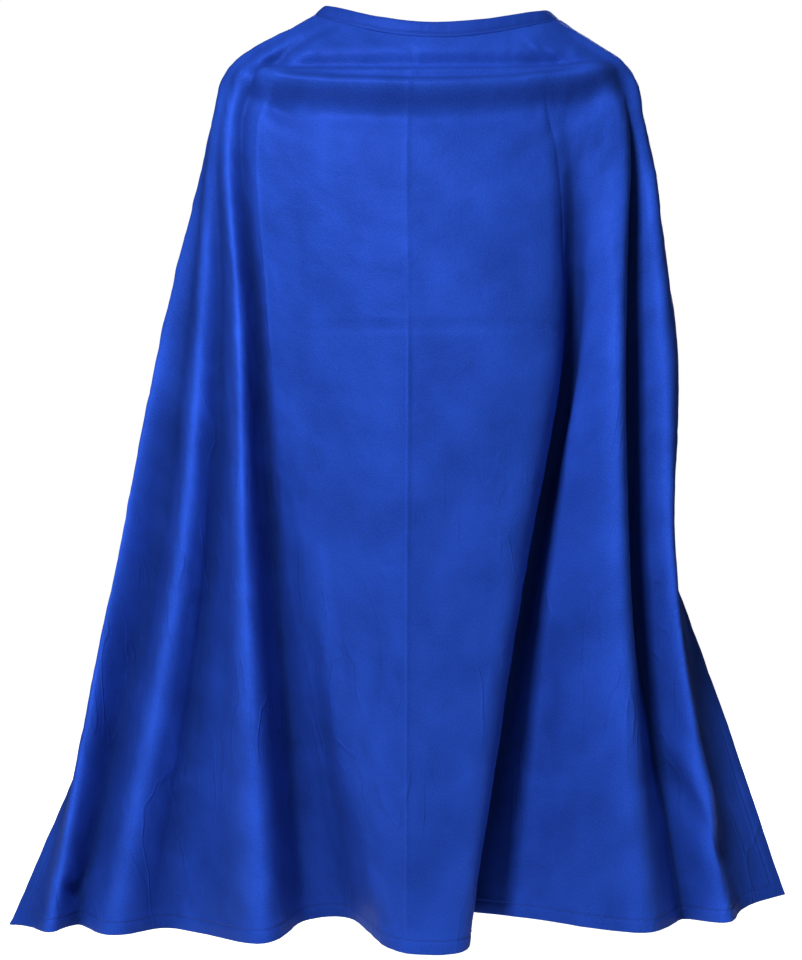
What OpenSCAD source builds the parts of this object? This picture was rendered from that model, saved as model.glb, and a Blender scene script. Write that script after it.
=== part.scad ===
// Superhero cape, hanging from the shoulders and seen at its best from behind.
// Millimetres, +Z up. The origin is the centre of the neck opening, the wearer faces +Y,
// and the back of the cape faces -Y, so the wearer's left is at -X.
// The cloth is one flared panel. It is drawn in zones, which meet face to face.

/* [Neck] */
// Half of the neck opening's width, side to side
neck_half_w = 133; // [120:1:145]
// Half of the neck opening's depth, front to back
neck_half_d = 62; // [56:1:70]
// Height of the folded neck band
band_h = 16.5; // [12:0.5:22]
// Thickness of one side of the folded neck band
band_t = 1.1; // [0.8:0.1:1.4]

/* [Cloth] */
// Thickness of the closed solid that stands for the thin cloth
cloth_t = 2.4; // [1.6:0.2:3]
// Depth of the turned hem along the bottom and up both front edges
hem_w = 15; // [10:1:20]
// Thickness of the turned layer of a hem
hem_t = 0.7; // [0.4:0.1:1]
// Width of a row of topstitching
thread_w = 0.9; // [0.6:0.1:1.5]

/* [Closure] */
// Length of the hook-and-loop tab from its root
tab_len = 70; // [60:1:74]
// Thickness of the tab and of the band end under it
tab_t = 1.6; // [1.2:0.1:2]
// Length of the hook strip and of the loop strip
strip_len = 44; // [30:1:48]
// Height of the hook strip and of the loop strip
strip_h = 12.5; // [8:0.5:14]
// Thickness of the hook strip and of the loop strip
strip_t = 1.1; // [0.8:0.1:1.2]

/* [Label] */
// Width of the blank label sewn in at the centre back
label_w = 63; // [40:1:70]
// Height of the label below its sewn edge
label_h = 18; // [12:1:24]
// Thickness of the folded label
label_t = 0.8; // [0.6:0.1:1.2]

/* [Hidden] */

cloth_blue = "#2A50B8";
deep_blue = "#1E3F9C";
thread_blue = "#16307C";
hook_blue = "#20409A";
label_white = "#E8E8E4";

// One entry for each fold line that runs from the neck band to the hem, in the order in
// which they are met from the left front edge, round the back, to the right front edge.
// Each has its angle round the neck opening from the front centre, and its place [x, y] at
// the armpits, at the elbows and at the hips, and [x, y, z] at the hem.
armpit_z = -110;
elbow_z = -340;
hip_z = -600;
fold_lines = [
    [15, [-86, 86], [-185, 78], [-300, 62], [-463, 12, -979]],         // left front edge
    [45, [-175, 68], [-250, 52], [-332, 34], [-438, 0, -979]],         // middle of that front
    [87, [-241, 0], [-298, -8], [-350, -18], [-413, -36, -978]],       // side fold
    [97, [-240, -16], [-268, -14], [-306, 8], [-390, 8, -978]],        // outer valley
    [105, [-237, -40], [-251, -50], [-274, -54], [-346, -48, -978]],   // outer ridge
    [113, [-229, -48], [-229, -40], [-241, -26], [-290, -16, -977]],   // shallow valley
    [121, [-218, -62], [-208, -84], [-200, -98], [-178, -114, -972]],  // main ridge
    [128, [-204, -58], [-188, -50], [-171, -32], [-140, -28, -966]],   // sharp valley
    [134, [-188, -74], [-178, -76], [-152, -68], [-98, -30, -962]],    // tuck behind the centre
    [140, [-162, -80], [-154, -95], [-122, -101], [-54, -116, -974]],  // lip of the centre fold
    [172, [-32, -98], [-32, -126], [-33, -132], [-34, -134, -977]],    // centre line
    [203, [95, -86], [114, -116], [76, -127], [24, -132, -976]],       // other lip
    [209, [128, -78], [141, -66], [95, -44], [32, -24, -960]],         // tuck behind that lip
    [215, [154, -72], [154, -86], [120, -68], [82, -46, -958]],        // slope out of the tuck
    [225, [192, -62], [188, -102], [190, -110], [212, -108, -962]],    // main ridge
    [240, [206, -38], [204, -42], [207, -32], [260, -50, -961]],       // sharp valley
    [254, [219, -30], [240, -58], [248, -70], [304, -80, -958]],       // outer ridge
    [268, [219, 0], [255, -12], [252, -14], [318, -38, -955]],         // valley behind it
    [315, [150, 68], [212, 52], [258, 24], [338, -18, -950]],          // middle of the other front
    [345, [66, 86], [152, 78], [260, 55], [376, 0, -944]]              // right front edge
];
last_fold = len(fold_lines) - 1;

// The shoulder line lies this share of the way down from the neck to the armpits, and this
// share of the way out: less at the back and front, more over the shoulders.
shoulder_drop = 0.52;
shoulder_out = 0.55;
shoulder_out_more = 0.3;
// The neck seam's height over the shoulders, how much higher it sits on the left one and
// lower on the right one, and how far it dips at the back and front.
seam_side_z = 1;
seam_tilt = 3;
seam_back_dip = 32;
seam_front_dip = 45;
// How far the band leans in, in degrees: at the back and front, and more over the shoulders.
band_lean = 10;
band_side_lean = 34;

// Levels of the surface, from 0 at the neck seam to 5 at the hem.
ARMPIT_LEVEL = 2;
HEM_LEVEL = 5;
hem_top_level = HEM_LEVEL - hem_w / (hip_z - fold_lines[10][4][2]);
yoke_levels = [0, 0.3, 0.65, 1, 1.3, 1.65, ARMPIT_LEVEL];
skirt_levels = [ARMPIT_LEVEL, 2.3, 2.65, 3, 3.25, 3.5, 3.75, 4, 4.25, 4.5, 4.75,
    hem_top_level, HEM_LEVEL];
steps_per_fold = 3;

// Points of a smooth curve through a list of points, at stations counted in points.
function tangent(a, b, c) =
    let (before = sqrt(norm(b - a)), after = sqrt(norm(c - b)))
    ((b - a) / before * after + (c - b) / after * before) / (before + after);
function blend_span(a, b, c, d, t) =
    let (step = sqrt(norm(c - b)), m = tangent(a, b, c) * step, n = tangent(b, c, d) * step)
    (2 * t ^ 3 - 3 * t ^ 2 + 1) * b + (t ^ 3 - 2 * t ^ 2 + t) * m
    + (3 * t ^ 2 - 2 * t ^ 3) * c + (t ^ 3 - t ^ 2) * n;
function beyond(points, i) =
    i < 0 ? 2 * points[0] - points[1]
    : i >= len(points) ? 2 * points[len(points) - 1] - points[len(points) - 2]
    : points[i];
function on_curve(points, s) =
    let (i = min(floor(s), len(points) - 2))
    blend_span(beyond(points, i - 1), points[i], points[i + 1], beyond(points, i + 2), s - i);

// The neck seam: an oval that rises over the shoulders and dips at the back and front.
function seam_z(a) =
    seam_side_z + seam_tilt * sin(a) ^ 3
    - (cos(a) > 0 ? seam_front_dip : seam_back_dip) * cos(a) ^ 2;
function seam_point(a) = [-neck_half_w * sin(a), neck_half_d * cos(a), seam_z(a)];

// One fold line from the neck seam to the hem.
function fold_points(f) =
    let (
        seam = seam_point(f[0]),
        armpit = [f[1][0], f[1][1], armpit_z],
        out = shoulder_out + shoulder_out_more * sin(f[0]) ^ 2,
        shoulder = [seam[0] + (armpit[0] - seam[0]) * out, seam[1] + (armpit[1] - seam[1]) * out,
            seam[2] + (armpit[2] - seam[2]) * shoulder_drop]
    )
    [seam, shoulder, armpit, [f[2][0], f[2][1], elbow_z], [f[3][0], f[3][1], hip_z], f[4]];
fold_curves = [for (f = fold_lines) fold_points(f)];

// The cloth's outer face, at a station across the folds and a level down them.
function ring_at(level) = [for (c = fold_curves) on_curve(c, level)];
function stations(from_step, to_step) = [for (k = [from_step : to_step]) k / steps_per_fold];
function cloth_row(level, across) =
    let (ring = ring_at(level)) [for (s = across) on_curve(ring, s)];

// The way in from the outer face, towards the wearer, at the same stations.
function inward_row(level, across) =
    let (
        e = 0.01,
        up = ring_at(max(level - e, 0)),
        down = ring_at(min(level + e, HEM_LEVEL)),
        here = ring_at(level)
    )
    [for (s = across)
        let (
            along = on_curve(here, min(s + e, last_fold)) - on_curve(here, max(s - e, 0)),
            fall = on_curve(down, s) - on_curve(up, s),
            n = cross(along, fall)
        )
        n / norm(n)];
function face_grid(levels, across, depth) =
    [for (v = levels) cloth_row(v, across) + depth * inward_row(v, across)];

// A closed solid between two grids of points that have the same rows and columns.
module between(outer, inner) {
    rows = len(outer);
    cols = len(outer[0]);
    count = rows * cols;
    points = [for (g = [outer, inner]) for (row = g) for (p = row) p];
    function at(j, i) = j * cols + i;
    faces = concat(
        [for (j = [0 : rows - 2]) for (i = [0 : cols - 2])
            for (f = [[at(j, i), at(j + 1, i + 1), at(j + 1, i)], [at(j, i), at(j, i + 1), at(j + 1, i + 1)]])
            for (side = [0, 1])
            side == 0 ? [f[2], f[1], f[0]] : [f[0] + count, f[1] + count, f[2] + count]],
        [for (j = [0 : rows - 2]) for (i = [0, cols - 1])
            let (o = at(j, i), p = at(j + 1, i))
            for (f = [[o, p + count, p], [o, o + count, p + count]])
            i == 0 ? f : [f[2], f[1], f[0]]],
        [for (i = [0 : cols - 2]) for (j = [0, rows - 1])
            let (o = at(j, i), p = at(j, i + 1))
            for (f = [[o, p, p + count], [o, p + count, o + count]])
            j == 0 ? f : [f[2], f[1], f[0]]]
    );
    polyhedron(points, faces, convexity = 8);
}

// A zone of the cloth, from one fold line to another.
module cloth_zone(from, to, levels) {
    across = stations(from * steps_per_fold, to * steps_per_fold);
    between(face_grid(levels, across, 0), face_grid(levels, across, cloth_t));
}

// The fold lines where the zones of the cloth meet, by their place in the list above.
LEFT_SIDE = 2;
LEFT_SHALLOW = 5;
LEFT_VALLEY = 7;
LEFT_LIP = 9;
RIGHT_LIP = 11;
RIGHT_SLOPE = 13;
RIGHT_VALLEY = 15;
RIGHT_SIDE = 17;

module upper_back() {
    color(cloth_blue) cloth_zone(LEFT_LIP, RIGHT_LIP, yoke_levels);
}
module left_back_shoulder() {
    color(cloth_blue) cloth_zone(LEFT_SIDE, LEFT_LIP, yoke_levels);
}
module right_back_shoulder() {
    color(cloth_blue) cloth_zone(RIGHT_LIP, RIGHT_SIDE, yoke_levels);
}
module left_front_shoulder() {
    color(cloth_blue) cloth_zone(0, LEFT_SIDE, yoke_levels);
}
module right_front_shoulder() {
    color(cloth_blue) cloth_zone(RIGHT_SIDE, last_fold, yoke_levels);
}
module left_front_panel() {
    color(cloth_blue) cloth_zone(0, LEFT_SIDE, skirt_levels);
}
module left_side_folds() {
    color(cloth_blue) cloth_zone(LEFT_SIDE, LEFT_SHALLOW, skirt_levels);
}
module left_main_fold() {
    color(cloth_blue) cloth_zone(LEFT_SHALLOW, LEFT_VALLEY, skirt_levels);
}
module left_tuck() {
    color(cloth_blue) cloth_zone(LEFT_VALLEY, LEFT_LIP, skirt_levels);
}
module centre_fold() {
    color(cloth_blue) cloth_zone(LEFT_LIP, RIGHT_LIP, skirt_levels);
}
module right_tuck() {
    color(cloth_blue) cloth_zone(RIGHT_LIP, RIGHT_SLOPE, skirt_levels);
}
module right_main_fold() {
    color(cloth_blue) cloth_zone(RIGHT_SLOPE, RIGHT_VALLEY, skirt_levels);
}
module right_side_folds() {
    color(cloth_blue) cloth_zone(RIGHT_VALLEY, RIGHT_SIDE, skirt_levels);
}
module right_front_panel() {
    color(cloth_blue) cloth_zone(RIGHT_SIDE, last_fold, skirt_levels);
}

// The turned layer of the bottom hem lies this far inside the cloth's inner face.
bottom_hem_gap = 0.1;
// The strips up the front edges cut across the cloth's flat facets, so they lie further in.
edge_gap = 1.6;
// The topstitching runs this far from the cloth's edge.
stitch_inset = hem_w - 2;
// A row of thread stands this far off the face it is sewn on, and is this thick.
thread_gap = 0.12;
thread_t = 0.4;
// Steps at each end of the bottom hem that the front hems take up.
corner_steps = 2;

// A station at a distance from a front edge: side is -1 on the left and 1 on the right.
function edge_station(level, side, distance) =
    let (
        ring = ring_at(level),
        share = side < 0 ? distance / norm(ring[1] - ring[0])
            : distance / norm(ring[last_fold - 1] - ring[last_fold])
    )
    side < 0 ? share : last_fold - share;
function edge_grid(side, near, far, depth) =
    [for (v = edge_levels)
        let (pair = [edge_station(v, side, near), edge_station(v, side, far)],
            across = side < 0 ? pair : [pair[1], pair[0]])
        cloth_row(v, across) + depth * inward_row(v, across)];
edge_levels = concat(yoke_levels, [for (k = [1 : len(skirt_levels) - 1]) skirt_levels[k]]);

// A strip along a front edge, between two distances from it and two depths in the cloth.
module edge_strip(side, near, far, depth, thickness) {
    between(edge_grid(side, near, far, depth), edge_grid(side, near, far, depth + thickness));
}
module hem_band(levels, depth, thickness) {
    across = stations(corner_steps, last_fold * steps_per_fold - corner_steps);
    between(face_grid(levels, across, depth), face_grid(levels, across, depth + thickness));
}

module bottom_hem() {
    color(deep_blue) hem_band([hem_top_level, HEM_LEVEL], cloth_t + bottom_hem_gap, hem_t);
}
module left_front_hem() {
    color(deep_blue) edge_strip(-1, 0, hem_w, cloth_t + edge_gap, hem_t);
}
module right_front_hem() {
    color(deep_blue) edge_strip(1, 0, hem_w, cloth_t + edge_gap, hem_t);
}

// The neck band stands on the cloth's top edge, and is open at the front.
band_gap = 0.15;
seam_stations = stations(0, last_fold * steps_per_fold);
seam_row = cloth_row(0, seam_stations);
seam_inward = inward_row(0, seam_stations);
function level_way(v) = [v[0], v[1], 0] / norm([v[0], v[1]]);
function band_angle(v) = band_lean + band_side_lean * (v[0] / neck_half_w) ^ 4;
function band_grid(heights, depth) =
    [for (up = heights)
        [for (i = [0 : len(seam_row) - 1])
            let (lean = band_angle(seam_row[i]))
            seam_row[i] + level_way(seam_inward[i]) * (depth * cos(lean) + up * sin(lean))
                + [0, 0, band_gap + band_t * 2 * sin(lean) + up * cos(lean) - depth * sin(lean)]]];
module band_layer(heights, depth, thickness) {
    between(band_grid(heights, depth), band_grid(heights, depth + thickness));
}

module neck_band() {
    color(cloth_blue) band_layer([band_h, band_h / 2, 0], 0, band_t);
}
module neck_band_facing() {
    color(deep_blue) band_layer([band_h, band_h / 2, 0], band_t + band_gap + 0.3, band_t);
}

// The closure lies flat across the front: the band's right end passes under the tab.
front_angle = fold_lines[0][0];
front_z = seam_z(front_angle) + band_gap;
front_x = neck_half_w * sin(front_angle);
front_y = neck_half_d * cos(front_angle);
end_gap = 0.5;
end_round = 4;
strip_round = 2;
underlap_y = front_y - tab_t - band_gap;
loop_y = underlap_y + tab_t;
// The hooks and the loops stay this far apart when the tab is closed.
closed_gap = 0.3;
hook_y = loop_y + strip_t + closed_gap;
tab_y = hook_y + strip_t;
// The far corners of the underlap stop short of the band's other end.
underlap_tip_x = 4 - front_x;
underlap_root_x = front_x - 1.2;

// A flat strip that stands across the front, from one x to another, with rounded corners.
module front_strip(low_x, high_x, low_z, height, near_y, thickness, r) {
    translate([low_x, near_y + thickness, low_z])
        rotate([90, 0, 0])
            linear_extrude(thickness)
                rounded_outline(high_x - low_x, height, r);
}
module rounded_outline(w, h, r) {
    translate([r, 0]) square([w - 2 * r, h]);
    translate([0, r]) square([w, h - 2 * r]);
    for (x = [r, w - r]) for (y = [r, h - r]) translate([x, y]) circle(r, $fn = 32);
}

module underlap_end() {
    color(cloth_blue)
        front_strip(underlap_tip_x, underlap_root_x, front_z, band_h, underlap_y, tab_t, end_round);
}
module loop_strip() {
    color(hook_blue)
        front_strip(-strip_len / 2, strip_len / 2, front_z + (band_h - strip_h) / 2, strip_h,
            loop_y, strip_t, strip_round);
}
module closure_tab() {
    color(cloth_blue)
        front_strip(end_gap - front_x, end_gap - front_x + tab_len, front_z, band_h,
            tab_y, tab_t, end_round);
}
module hook_strip() {
    color(hook_blue)
        front_strip(-strip_len / 2, strip_len / 2, front_z + (band_h - strip_h) / 2, strip_h,
            hook_y, strip_t, strip_round);
}

// The label hangs inside the centre back, from just under the neck seam, and is turned to
// follow the seam there.
label_x = -22;
label_y = 5.8 - neck_half_d;
label_top_z = seam_side_z - seam_back_dip - 1.2;
label_turn = 4.5;
module label_slab(from_y, thickness, from_z, height) {
    translate([label_x, label_y, label_top_z])
        rotate([0, 0, -label_turn])
            translate([-label_w / 2, from_y, from_z])
                cube([label_w, thickness, height]);
}
module care_label() {
    color(label_white) label_slab(-label_t / 2, label_t, -label_h, label_h);
}

module hem_thread() {
    level_per_mm = (HEM_LEVEL - hem_top_level) / hem_w;
    row = HEM_LEVEL - stitch_inset * level_per_mm;
    half = thread_w / 2 * level_per_mm;
    color(thread_blue) hem_band([row - half, row + half], -thread_gap - thread_t, thread_t);
}
module left_edge_thread() {
    color(thread_blue)
        edge_strip(-1, stitch_inset, stitch_inset + thread_w, -edge_gap - thread_t, thread_t);
}
module right_edge_thread() {
    color(thread_blue)
        edge_strip(1, stitch_inset, stitch_inset + thread_w, -edge_gap - thread_t, thread_t);
}
module neck_thread() {
    row = 2;
    clear_of_twist = 0.5;  // the band turns as it goes round, so the thread stands further off
    color(thread_blue)
        band_layer([row + thread_w, row], -thread_gap - thread_t - clear_of_twist, thread_t);
}
// The stitching that holds the hook strip is a frame on the tab's outer face.
module closure_thread() {
    inset = 1.5;
    w = strip_len - 2 * inset;
    h = strip_h - 2 * inset;
    color(thread_blue)
        translate([-w / 2, tab_y + tab_t + thread_gap + thread_t, front_z + (band_h - h) / 2])
            rotate([90, 0, 0])
                linear_extrude(thread_t)
                    difference() {
                        square([w, h]);
                        translate([thread_w, thread_w]) square([w - 2 * thread_w, h - 2 * thread_w]);
                    }
}
module label_thread() {
    color(thread_blue) label_slab(label_t / 2 + thread_gap, thread_t, -1.4 - thread_w, thread_w);
}

upper_back();
left_back_shoulder();
right_back_shoulder();
left_front_shoulder();
right_front_shoulder();
left_front_panel();
left_side_folds();
left_main_fold();
left_tuck();
centre_fold();
right_tuck();
right_main_fold();
right_side_folds();
right_front_panel();
bottom_hem();
left_front_hem();
right_front_hem();
neck_band();
neck_band_facing();
underlap_end();
loop_strip();
closure_tab();
hook_strip();
care_label();
hem_thread();
left_edge_thread();
right_edge_thread();
neck_thread();
closure_thread();
label_thread();
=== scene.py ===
"""A plain blue superhero cape of thin knit cloth, hanging from its neck band.

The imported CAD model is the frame. One continuous sheet replaces its cloth zones, and the
band, closure, label and stitches are modelled on it. Metres, +Z up, the wearer faces +Y.
"""
import bpy
import math
import numpy as np
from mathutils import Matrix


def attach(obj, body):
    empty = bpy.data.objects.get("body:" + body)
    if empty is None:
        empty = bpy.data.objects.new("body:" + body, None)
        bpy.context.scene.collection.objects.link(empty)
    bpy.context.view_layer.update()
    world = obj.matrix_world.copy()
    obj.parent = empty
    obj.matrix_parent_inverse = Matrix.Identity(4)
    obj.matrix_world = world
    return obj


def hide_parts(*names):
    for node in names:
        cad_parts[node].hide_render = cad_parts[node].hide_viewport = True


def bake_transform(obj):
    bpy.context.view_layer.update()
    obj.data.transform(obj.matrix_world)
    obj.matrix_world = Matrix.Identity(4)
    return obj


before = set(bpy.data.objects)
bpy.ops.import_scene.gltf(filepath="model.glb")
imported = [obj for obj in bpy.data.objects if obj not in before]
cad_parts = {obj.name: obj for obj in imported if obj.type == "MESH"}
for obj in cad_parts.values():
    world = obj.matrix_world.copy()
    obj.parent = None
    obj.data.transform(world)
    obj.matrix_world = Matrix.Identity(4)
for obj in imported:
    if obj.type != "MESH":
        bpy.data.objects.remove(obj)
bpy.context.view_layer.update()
MM = 0.001


# ---------------------------------------------------------------- cloth surface
# The same fold lines as in the CAD model, in millimetres: the angle round the neck from the
# front centre, then [x, y] at the armpits, elbows and hips, and [x, y, z] at the hem.
ARMPIT_Z, ELBOW_Z, HIP_Z = -110, -340, -600
FOLD_LINES = [
    (15, (-86, 86), (-185, 78), (-300, 62), (-463, 12, -979)),         # left front edge
    (45, (-175, 68), (-250, 52), (-332, 34), (-438, 0, -979)),         # middle of that front
    (87, (-241, 0), (-298, -8), (-350, -18), (-413, -36, -978)),       # side fold
    (97, (-240, -16), (-268, -14), (-306, 8), (-390, 8, -978)),        # outer valley
    (105, (-237, -40), (-251, -50), (-274, -54), (-346, -48, -978)),   # outer ridge
    (113, (-229, -48), (-229, -40), (-241, -26), (-290, -16, -977)),   # shallow valley
    (121, (-218, -62), (-208, -84), (-200, -98), (-178, -114, -972)),  # main ridge
    (128, (-204, -58), (-188, -50), (-171, -32), (-140, -28, -966)),   # sharp valley
    (134, (-188, -74), (-178, -76), (-152, -68), (-98, -30, -962)),    # tuck behind the centre
    (140, (-162, -80), (-154, -95), (-122, -101), (-54, -116, -974)),  # lip of the centre fold
    (172, (-32, -98), (-32, -126), (-33, -132), (-34, -134, -977)),    # centre line
    (203, (95, -86), (114, -116), (76, -127), (24, -132, -976)),       # other lip
    (209, (128, -78), (141, -66), (95, -44), (32, -24, -960)),         # tuck behind that lip
    (215, (154, -72), (154, -86), (120, -68), (82, -46, -958)),        # slope out of the tuck
    (225, (192, -62), (188, -102), (190, -110), (212, -108, -962)),    # main ridge
    (240, (206, -38), (204, -42), (207, -32), (260, -50, -961)),       # sharp valley
    (254, (219, -30), (240, -58), (248, -70), (304, -80, -958)),       # outer ridge
    (268, (219, 0), (255, -12), (252, -14), (318, -38, -955)),         # valley behind it
    (315, (150, 68), (212, 52), (258, 24), (338, -18, -950)),          # middle of the other front
    (345, (66, 86), (152, 78), (260, 55), (376, 0, -944)),             # right front edge
]
LAST_FOLD = len(FOLD_LINES) - 1
CENTRE_FOLD = 10
# Measures of the neck seam, and of how the folds leave it over the shoulders, as in the CAD.
NECK_HALF_W, NECK_HALF_D = 133, 62
SEAM_SIDE_Z, SEAM_TILT, SEAM_BACK_DIP, SEAM_FRONT_DIP = 1, 3, 32, 45
SHOULDER_DROP, SHOULDER_OUT, SHOULDER_OUT_MORE = 0.52, 0.55, 0.3
# Levels count from the seam, 0, to the hem, 5, and the last is LEVEL_MM long.
ARMPIT_LEVEL, HEM_LEVEL, LEVEL_MM = 2, 5, 375
HEM_W, STITCH_INSET = 15, 13


def seam_point(angle):
    """A point of the neck seam, at an angle from the front centre."""
    a = math.radians(angle)
    dip = SEAM_FRONT_DIP if math.cos(a) > 0 else SEAM_BACK_DIP
    return [-NECK_HALF_W * math.sin(a), NECK_HALF_D * math.cos(a),
            SEAM_SIDE_Z + SEAM_TILT * math.sin(a) ** 3 - dip * math.cos(a) ** 2]


def fold_points(fold):
    """One fold line, from the neck seam to the hem."""
    angle, armpit, elbow, hip, hem = fold
    seam = np.array(seam_point(angle))
    armpit = np.array([*armpit, ARMPIT_Z])
    out = SHOULDER_OUT + SHOULDER_OUT_MORE * math.sin(math.radians(angle)) ** 2
    share = np.array([out, out, SHOULDER_DROP])
    shoulder = seam + (armpit - seam) * share
    return [seam, shoulder, armpit, [*elbow, ELBOW_Z], [*hip, HIP_Z], hem]


def run_along(line):
    """The distance from a line's start to each of its points."""
    return np.concatenate([[0], np.cumsum(np.linalg.norm(np.diff(line, axis=0), axis=1))])


def unit(v):
    """Vectors scaled to length 1."""
    return v / np.maximum(np.linalg.norm(v, axis=-1, keepdims=True), 1e-9)


def on_curves(knots, at):
    """Points on smooth curves. knots: (knots, curves, 3); at: (places, curves) in knots."""
    first, last = 2 * knots[0] - knots[1], 2 * knots[-1] - knots[-2]
    padded = np.concatenate([first[None], knots, last[None]])
    leg = np.diff(padded, axis=0)
    step = np.sqrt(np.maximum(np.linalg.norm(leg, axis=2, keepdims=True), 1e-9))
    before, after = step[:-1], step[1:]
    tangent = (leg[:-1] / before * after + leg[1:] / after * before) / (before + after)
    i = np.clip(np.floor(at).astype(int), 0, len(knots) - 2)
    t = (at - i)[..., None]
    lane = np.arange(knots.shape[1])[None, :]
    p, q = knots[i, lane], knots[i + 1, lane]
    width = after[i, lane]
    m, n = tangent[i, lane] * width, tangent[i + 1, lane] * width
    return ((2 * t**3 - 3 * t**2 + 1) * p + (t**3 - 2 * t**2 + t) * m
            + (3 * t**2 - 2 * t**3) * q + (t**3 - t**2) * n)


COLUMNS = np.array([fold_points(f) for f in FOLD_LINES], dtype=float).transpose(1, 0, 2)
# Thin cloth falls in rounder folds than the fold lines alone give. The half width in
# millimetres over which they are rounded, at each level from the seam to the hem, and the
# folds that stay sharper, by their place in the list, with the share of that width.
ROUNDING = [0, 3, 4.5, 5.5, 7.5, 10]
SHARP_FOLDS = {3: 0.4, 5: 0.4, 7: 0.35, 9: 0.5, 12: 0.4, 15: 0.35}
DENSE = 24
# Over this many millimetres a fold is compared with its surroundings, and how many millimetres
# above or below them count as a full crown or hollow. Crowns get painted highlight and hollows get
# painted shade in the cloth's colour.
PAINTED_LIGHT_REACH, PAINTED_LIGHT_HEIGHT = 15, 9


def rings(levels):
    """The fold lines' points at each level: (levels, folds, 3)."""
    at = np.repeat(np.asarray(levels, dtype=float)[:, None], COLUMNS.shape[1], axis=1)
    return on_curves(COLUMNS, at)


def smoothed(row, run, width):
    """A row of points, each moved to the mean of its neighbours within about a width."""
    weight = np.exp(-0.5 * ((run[:, None] - run[None, :]) / width) ** 2)
    weight *= np.gradient(run)[None, :]
    return weight @ row / weight.sum(axis=1, keepdims=True)


def rounded_rows(levels):
    """Each level's row of closely spaced points, with its folds rounded off."""
    stations = np.linspace(0, LAST_FOLD, LAST_FOLD * DENSE + 1)
    ring = rings(levels).transpose(1, 0, 2)
    at = np.repeat(stations[:, None], len(levels), axis=1)
    rows = on_curves(ring, at).transpose(1, 0, 2)
    hold = np.ones(len(stations))
    for fold, share in SHARP_FOLDS.items():
        hold = np.minimum(hold, 1 - (1 - share) * np.exp(-((stations - fold) / 0.45) ** 2))
    spread = np.interp(levels, range(len(ROUNDING)), ROUNDING)
    for k, row in enumerate(rows):
        run = run_along(row)
        near_end = np.minimum(run, run[-1] - run)
        width = np.clip(np.minimum(spread[k] * hold, near_end * 0.4), 0.05, None)
        rows[k] = smoothed(row, run, width[:, None])
    return rows


def surface(levels, stations):
    """The smooth cloth, at each level and at that level's stations: (levels, stations, 3)."""
    rows = rounded_rows(np.asarray(levels, dtype=float)).transpose(1, 0, 2)
    return on_curves(rows, np.asarray(stations).T * DENSE).transpose(1, 0, 2)


# Distances from the cloth's edge of its outermost rows and columns, in from the edge.
HEM_STEPS = [0, 1.2, 3, 6, 9, 11.6, STITCH_INSET, 14.2, HEM_W]
HEM_ROWS = len(HEM_STEPS)
STITCH_STEP = HEM_STEPS.index(STITCH_INSET)
FRONT_STEPS, BACK_STEPS = 13, 10
# Columns beside each crease that runs down the back, in stations from the crease.
CREASE_STATIONS = (8.1, 10.0, 11.55)
CREASE_COLUMNS = (-0.05, -0.028, -0.013, 0, 0.013, 0.028, 0.05)


def edge_lengths(levels):
    """How many millimetres one station is worth at each front edge, at each level."""
    ring = rings(levels)
    return (np.linalg.norm(ring[:, 1] - ring[:, 0], axis=1),
            np.linalg.norm(ring[:, -2] - ring[:, -1], axis=1))


def station_grid(levels):
    """The stations of every column at every level, with the hem's width kept at the edges."""
    first, last = edge_lengths(levels)
    near = np.array([*HEM_STEPS, 16.2])
    left = near[None, :] / first[:, None]
    right = LAST_FOLD - near[None, ::-1] / last[:, None]
    share = np.linspace(0, 1, FRONT_STEPS + 2)[1:-1][None, :]
    left_front = left[:, -1:] + (2 - left[:, -1:]) * share
    back_end = LAST_FOLD - 2
    right_front = back_end + (right[:, :1] - back_end) * share
    back = np.linspace(2, back_end, (back_end - 2) * BACK_STEPS + 1)
    beside = [at + off for at in CREASE_STATIONS for off in CREASE_COLUMNS]
    back = np.unique(np.round(np.concatenate([back, beside]), 4))
    back = np.repeat(back[None, :], len(levels), axis=0)
    return np.concatenate([left, left_front, back, right_front, right], axis=1)


def level_list():
    """Rows, close together over the slack folds of the upper back and at the hem."""
    yoke = np.linspace(0, ARMPIT_LEVEL, 49)[:-1]
    skirt = np.linspace(ARMPIT_LEVEL, HEM_LEVEL - 16.5 / LEVEL_MM, 128)
    return np.concatenate([yoke, skirt, HEM_LEVEL - np.array(HEM_STEPS[::-1]) / LEVEL_MM])


LEVELS = level_list()
STATIONS = station_grid(LEVELS)


def face_normals(points):
    """Outward unit normals of the grid."""
    return unit(np.cross(np.gradient(points, axis=0), np.gradient(points, axis=1)))


def cloth_uv(points):
    """How far each point lies across the cloth from its centre line, and down from the seam."""
    across = np.linalg.norm(np.diff(points, axis=1), axis=2)
    u = np.concatenate([np.zeros((len(points), 1)), np.cumsum(across, axis=1)], axis=1)
    centre = np.argmin(np.abs(STATIONS[0] - CENTRE_FOLD))
    u = u - u[:, centre:centre + 1]
    down = np.linalg.norm(np.diff(points, axis=0), axis=2)
    v = np.concatenate([np.zeros((1, points.shape[1])), np.cumsum(down, axis=0)], axis=0)
    return u, v


def soft_noise(u, v, cell_u, cell_v, seed):
    """Smooth random relief between -1 and 1, with cells of a given size in millimetres."""
    table = np.random.default_rng(seed).uniform(-1, 1, (257, 257))
    a, b = u / cell_u + 100, v / cell_v + 100
    i, j = np.floor(a).astype(int), np.floor(b).astype(int)
    s, t = a - i, b - j
    s, t = s * s * (3 - 2 * s), t * t * (3 - 2 * t)
    i, j = i % 256, j % 256
    low = table[i, j] * (1 - s) + table[i + 1, j] * s
    high = table[i, j + 1] * (1 - s) + table[i + 1, j + 1] * s
    return low * (1 - t) + high * t


def bell(d, width):
    """1 at d = 0, and 0.37 at a half width from there."""
    return np.exp(-(d / width) ** 2)


def ramp(x, low, high):
    """A smooth step from 0 at low to 1 at high."""
    t = np.clip((x - low) / (high - low), 0, 1)
    return t * t * (3 - 2 * t)


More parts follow.
